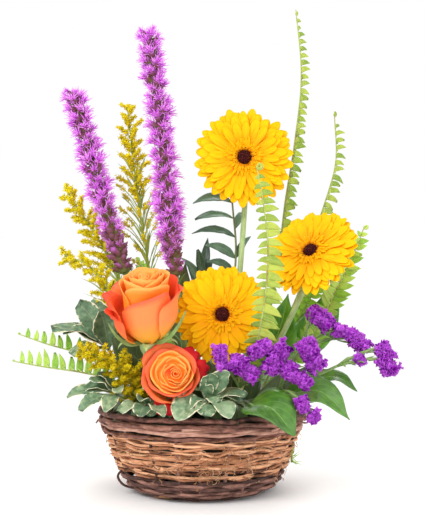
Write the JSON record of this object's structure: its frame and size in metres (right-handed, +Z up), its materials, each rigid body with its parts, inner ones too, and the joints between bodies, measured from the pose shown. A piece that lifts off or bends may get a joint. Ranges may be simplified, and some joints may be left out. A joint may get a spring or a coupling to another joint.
{
  "type": "flower basket arrangement",
  "caption": "Round twig basket with a foam block holding gerberas, roses, liatris spikes, goldenrod, statice, fern fronds and mixed leaves.",
  "frame": {"origin": "centre of the basket's flat base, on the surface that it stands on", "axes": "+Z up, -Y to the front, where the gerberas and the front rose look"},
  "size_m": [0.3863, 0.257, 0.4999],
  "materials": {
    "twig_bark": "peeling bark on split twigs, matt",
    "dark_twig_bark": "dark unpeeled bark, matt",
    "liner_plastic": "thin moulded film",
    "wet_foam": "soaked floral foam",
    "green_stem": "fresh cut stem, satin",
    "gerbera_ray": "golden yellow petal, satin",
    "gerbera_disc": "dark maroon velvety florets",
    "rose_petal": "orange petal with a coral edge, satin",
    "liatris_floret": "magenta purple thread-like florets",
    "goldenrod_spray": "tiny golden heads on green twigs",
    "statice_calyx": "papery purple calyces",
    "fern_frond": "young lime green leaflets",
    "pittosporum_leaf": "grey-green leaf with a cream edge",
    "salal_leaf": "glossy mid green leaf",
    "ruscus_leaf": "dark green pointed leaf"
  },
  "bodies": {
    "root": {"basket_border": "dark_twig_bark", "basket_wall": "twig_bark", "fern_back": "fern_frond", "fern_front": "fern_frond", "fern_inner": "fern_frond", "fern_left_lower": "fern_frond", "fern_left_upper": "fern_frond", "fern_middle": "fern_frond", "fern_right": "fern_frond", "fern_tall": "fern_frond", "foam": "wet_foam", "gerbera_low_disc": "gerbera_disc", "gerbera_low_rays": "gerbera_ray", "gerbera_low_stem": "green_stem", "gerbera_right_disc": "gerbera_disc", "gerbera_right_rays": "gerbera_ray", "gerbera_right_stem": "green_stem", "gerbera_top_disc": "gerbera_disc", "gerbera_top_rays": "gerbera_ray", "gerbera_top_stem": "green_stem", "goldenrod_back": "goldenrod_spray", "goldenrod_front": "goldenrod_spray", "goldenrod_left": "goldenrod_spray", "goldenrod_low_left": "goldenrod_spray", "liatris_left_spike": "liatris_floret", "liatris_left_stem": "green_stem", "liatris_right_spike": "liatris_floret", "liatris_right_stem": "green_stem", "liner": "liner_plastic", "pittosporum_back": "pittosporum_leaf", "pittosporum_front": "pittosporum_leaf", "pittosporum_left": "pittosporum_leaf", "pittosporum_low_left": "pittosporum_leaf", "pittosporum_rim": "pittosporum_leaf", "rose_front_bloom": "rose_petal", "rose_front_stem": "green_stem", "rose_upright_bloom": "rose_petal", "rose_upright_stem": "green_stem", "ruscus_left": "ruscus_leaf", "ruscus_right": "ruscus_leaf", "salal_back": "salal_leaf", "salal_back_left": "salal_leaf", "salal_back_right": "salal_leaf", "salal_front": "salal_leaf", "salal_left": "salal_leaf", "salal_middle": "salal_leaf", "salal_right": "salal_leaf", "salal_right_small": "salal_leaf", "salal_right_tall": "salal_leaf", "salal_tall_back": "salal_leaf", "statice_low": "statice_calyx", "statice_middle": "statice_calyx", "statice_right": "statice_calyx", "statice_upper": "statice_calyx"}
  },
  "joints": []
}
